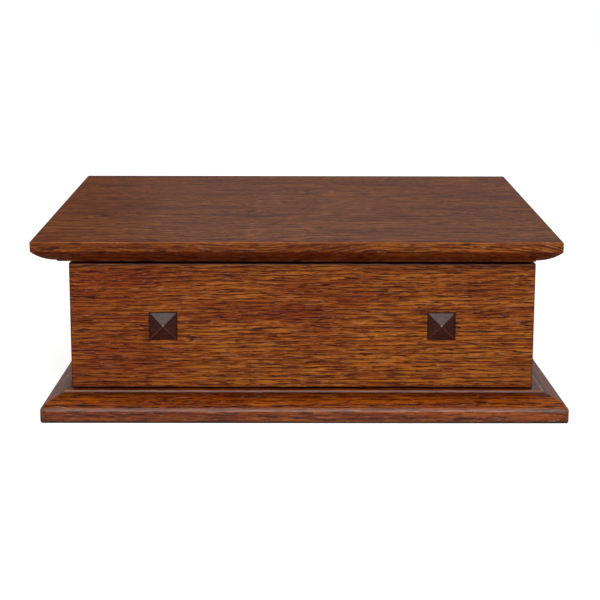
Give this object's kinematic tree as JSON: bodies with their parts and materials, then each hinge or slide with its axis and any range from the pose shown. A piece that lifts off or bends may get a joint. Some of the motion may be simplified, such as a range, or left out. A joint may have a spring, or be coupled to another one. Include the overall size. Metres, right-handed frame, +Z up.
{
  "type": "letter writing box with drawer",
  "caption": "Low oak writing box: sloping moulded lid on stop hinges over a paper well, moulded base, and a full-front dovetailed drawer with ebonised pyramid plugs.",
  "frame": {"origin": "centre of the base board's flat underside, where the box rests", "axes": "+Z up, -Y out of the drawer's face, +X to the right as seen from the front"},
  "size_m": [0.3742, 0.3066, 0.1425],
  "materials": {
    "lid_oak": "fumed and stained oak, rubbed satin lacquer",
    "base_oak": "fumed and stained oak, rubbed satin lacquer",
    "front_oak": "stained oak with dark pores, rubbed satin lacquer",
    "case_oak": "stained oak, satin lacquer",
    "inner_oak": "lightly oiled oak, nearly matte",
    "ebonised": "ebonised and waxed",
    "brass": "satin brass",
    "pin_steel": "bright steel",
    "screw_brass": "satin brass",
    "screw_steel": "zinc plated steel"
  },
  "bodies": {
    "case": {"base_board": "base_oak", "base_screws": "screw_steel", "case_left": "case_oak", "case_right": "case_oak", "case_back": "case_oak", "well_front": "case_oak", "well_floor": "inner_oak", "hinge_leaf_case_left": "brass", "hinge_leaf_case_right": "brass", "hinge_pin_left": "pin_steel", "hinge_pin_right": "pin_steel", "hinge_screws_case": "screw_brass"},
    "drawer": {"drawer_front": "front_oak", "plug_left": "ebonised", "plug_right": "ebonised", "drawer_front_screws": "screw_brass", "drawer_subfront": "inner_oak", "drawer_back": "inner_oak", "drawer_side_left": "inner_oak", "drawer_side_right": "inner_oak", "drawer_bottom": "inner_oak"},
    "lid": {"lid_board": "lid_oak", "hinge_leaf_lid_left": "brass", "hinge_leaf_lid_right": "brass", "hinge_screws_lid": "screw_brass"}
  },
  "joints": [
    {"name": "drawer_slide", "type": "slide", "parent": "case", "child": "drawer", "axis": [0, -1, 0], "range_m": [0, 0.2]},
    {"name": "lid_hinge", "type": "hinge", "parent": "case", "child": "lid", "pos_m": [0, 0.15215, 0.12569], "axis": [-1, 0, 0], "range_deg": [0, 98]}
  ]
}
